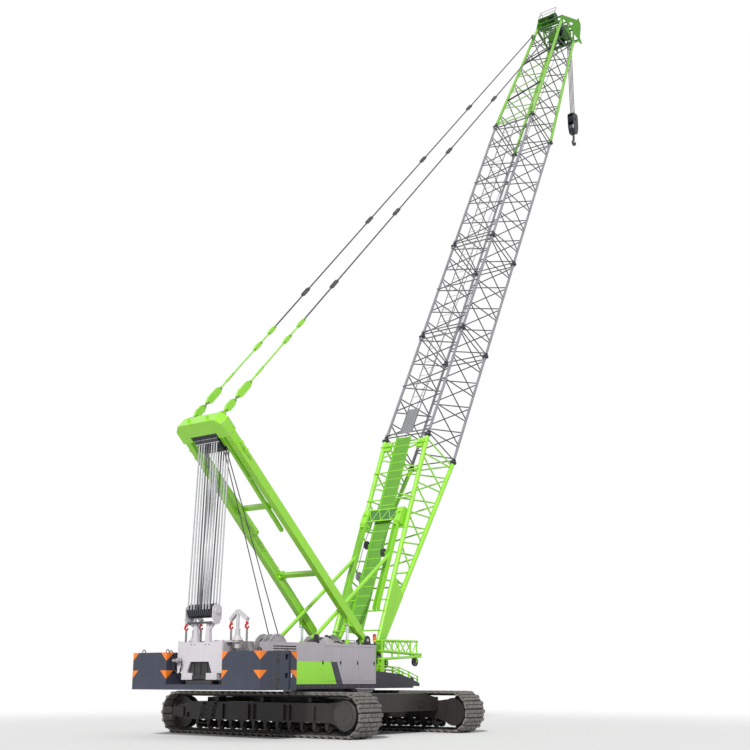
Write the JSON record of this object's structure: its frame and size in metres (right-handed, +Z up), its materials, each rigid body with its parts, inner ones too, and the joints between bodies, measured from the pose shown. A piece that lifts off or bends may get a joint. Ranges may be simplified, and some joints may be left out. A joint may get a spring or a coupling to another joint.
{
  "type": "crawler crane with lattice boom",
  "caption": "Lattice boom crawler crane with a luffing boom, mast, pendants, hook block, slewing superstructure, counterweight and two tracks.",
  "frame": {"origin": "on the ground below the slewing centre", "axes": "+X the way the boom points at rest, +Y the crane's left, +Z up; the tracks lie along Y"},
  "size_m": [28.5611, 9.3722, 39.4016],
  "materials": {
    "undercarriage_black": "satin dark paint",
    "shoe_grey": "worn bare shoes",
    "deck_dark": "satin dark paint",
    "housing_grey": "satin grey paint",
    "weight_slate": "satin slate paint",
    "boom_green": "gloss green paint",
    "boom_grey": "satin grey paint",
    "rod_chrome": "polished rod",
    "steel_dark": "dark steel",
    "rope_steel": "wire rope",
    "hook_red": "red paint",
    "seat_black": "woven seat"
  },
  "bodies": {
    "undercarriage": {"carbody": "undercarriage_black", "slewing_ring": "undercarriage_black", "track_frame_left": "undercarriage_black", "track_frame_right": "undercarriage_black", "running_gear_left": "steel_dark", "running_gear_right": "steel_dark", "track_left": "shoe_grey", "track_right": "shoe_grey"},
    "superstructure": {"deck": "deck_dark", "foot_pins": "deck_dark", "housing_left": "housing_grey", "housing_right": "housing_grey", "engine": "deck_dark", "tail_frame": "housing_grey", "boom_hoist_block": "housing_grey", "counterweight_tray": "weight_slate", "counterweight_left": "weight_slate", "counterweight_right": "weight_slate", "cab": "housing_grey", "cab_seat": "seat_black", "stowed_strut": "boom_green", "lamp_stack": "hook_red"},
    "boom": {"boom_base": "boom_green", "boom_insert_1": "boom_grey", "boom_insert_2": "boom_grey", "boom_insert_3": "boom_grey", "boom_tip": "boom_green", "boom_head": "boom_green", "walkway": "boom_green", "pendant_left": "boom_grey", "pendant_right": "boom_grey"},
    "mast": {"mast_legs": "boom_green", "mast_head": "boom_green", "mast_arm": "boom_green"},
    "backstop_left": {"backstop_left": "boom_green"},
    "backstop_right": {"backstop_right": "boom_green"},
    "mast_cylinder_left": {"mast_cylinder_left": "boom_green"},
    "mast_cylinder_right": {"mast_cylinder_right": "boom_green"},
    "mast_rod_left": {"mast_rod_left": "rod_chrome"},
    "mast_rod_right": {"mast_rod_right": "rod_chrome"},
    "hoist": {"hoist_ropes": "rope_steel", "hook_block": "steel_dark"},
    "hook": {"hook": "steel_dark"},
    "jack_left": {"jack_left": "housing_grey"},
    "jack_right": {"jack_right": "housing_grey"},
    "winch_drum_rear": {"winch_drum_rear": "deck_dark"},
    "winch_drum_front": {"winch_drum_front": "deck_dark"},
    "cab_door": {"cab_door": "housing_grey"},
    "housing_door_1": {"housing_door_1": "housing_grey"},
    "housing_door_2": {"housing_door_2": "housing_grey"},
    "housing_door_3": {"housing_door_3": "housing_grey"}
  },
  "joints": [
    {"name": "slew", "type": "hinge", "parent": "undercarriage", "child": "superstructure", "pos_m": [0, 0, 1.54], "axis": [0, 0, 1], "continuous": true},
    {"name": "boom_luff", "type": "hinge", "parent": "superstructure", "child": "boom", "pos_m": [1.66, 0, 2.64], "axis": [0, -1, 0], "range_deg": [-32.6, 17.4]},
    {"name": "mast_pivot", "type": "hinge", "parent": "superstructure", "child": "mast", "pos_m": [1.01, 0, 3.245], "axis": [0, -1, 0], "range_deg": [-35.87, 19.38]},
    {"name": "backstop_left_pivot", "type": "hinge", "parent": "superstructure", "child": "backstop_left", "pos_m": [-1.5, 0.84, 3.3], "axis": [0, -1, 0], "range_deg": [-25.6, 13.9]},
    {"name": "mast_cylinder_left_pivot", "type": "hinge", "parent": "superstructure", "child": "mast_cylinder_left", "pos_m": [0.02, 1.11, 1.85], "axis": [0, -1, 0], "range_deg": [-11.05, 6.04]},
    {"name": "mast_rod_left_slide", "type": "slide", "parent": "mast_cylinder_left", "child": "mast_rod_left", "axis": [0.0051, 0, 1], "range_m": [-0.30131, 0.56016]},
    {"name": "jack_left_lift", "type": "slide", "parent": "superstructure", "child": "jack_left", "axis": [0, 0, 1], "range_m": [0, 0.3]},
    {"name": "backstop_right_pivot", "type": "hinge", "parent": "superstructure", "child": "backstop_right", "pos_m": [-1.5, -0.84, 3.3], "axis": [0, -1, 0], "range_deg": [-25.6, 13.9]},
    {"name": "mast_cylinder_right_pivot", "type": "hinge", "parent": "superstructure", "child": "mast_cylinder_right", "pos_m": [0.02, -1.11, 1.85], "axis": [0, -1, 0], "range_deg": [-11.05, 6.04]},
    {"name": "mast_rod_right_slide", "type": "slide", "parent": "mast_cylinder_right", "child": "mast_rod_right", "axis": [0.0051, 0, 1], "range_m": [-0.30131, 0.56016]},
    {"name": "jack_right_lift", "type": "slide", "parent": "superstructure", "child": "jack_right", "axis": [0, 0, 1], "range_m": [0, 0.3]},
    {"name": "hoist_hang", "type": "hinge", "parent": "boom", "child": "hoist", "pos_m": [21.04382, 0, 38.51409], "axis": [0, -1, 0], "range_deg": [-17.9, 33.1]},
    {"name": "hook_swivel", "type": "hinge", "parent": "hoist", "child": "hook", "pos_m": [21.48382, 0, 32.17409], "axis": [0, 0, 1], "continuous": true},
    {"name": "winch_rear_spin", "type": "hinge", "parent": "superstructure", "child": "winch_drum_rear", "pos_m": [-3.4, -0.53, 2.9], "axis": [0, 1, 0], "continuous": true},
    {"name": "winch_front_spin", "type": "hinge", "parent": "superstructure", "child": "winch_drum_front", "pos_m": [-0.1, 0, 2.95], "axis": [0, 1, 0], "continuous": true},
    {"name": "housing_door_1_hinge", "type": "hinge", "parent": "superstructure", "child": "housing_door_1", "pos_m": [-1.927, -1.7, 2.4], "axis": [0, 0, -1], "range_deg": [0, 90]},
    {"name": "housing_door_2_hinge", "type": "hinge", "parent": "superstructure", "child": "housing_door_2", "pos_m": [-0.977, -1.7, 2.4], "axis": [0, 0, -1], "range_deg": [0, 90]},
    {"name": "housing_door_3_hinge", "type": "hinge", "parent": "superstructure", "child": "housing_door_3", "pos_m": [-0.027, -1.7, 2.4], "axis": [0, 0, -1], "range_deg": [0, 90]},
    {"name": "cab_door_hinge", "type": "hinge", "parent": "superstructure", "child": "cab_door", "pos_m": [2.448, 2.55, 2.4], "axis": [0, 0, 1], "range_deg": [0, 80]}
  ],
  "couplings": [
    {"joint": "mast_pivot", "follows": "boom_luff", "ratio": 1.085},
    {"joint": "backstop_left_pivot", "follows": "boom_luff", "ratio": 0.77},
    {"joint": "mast_cylinder_left_pivot", "follows": "boom_luff", "ratio": 0.3298},
    {"joint": "mast_rod_left_slide", "follows": "boom_luff", "m_per_rad": -0.9757},
    {"joint": "backstop_right_pivot", "follows": "boom_luff", "ratio": 0.77},
    {"joint": "mast_cylinder_right_pivot", "follows": "boom_luff", "ratio": 0.3298},
    {"joint": "mast_rod_right_slide", "follows": "boom_luff", "m_per_rad": -0.9757},
    {"joint": "hoist_hang", "follows": "boom_luff", "ratio": -1}
  ]
}
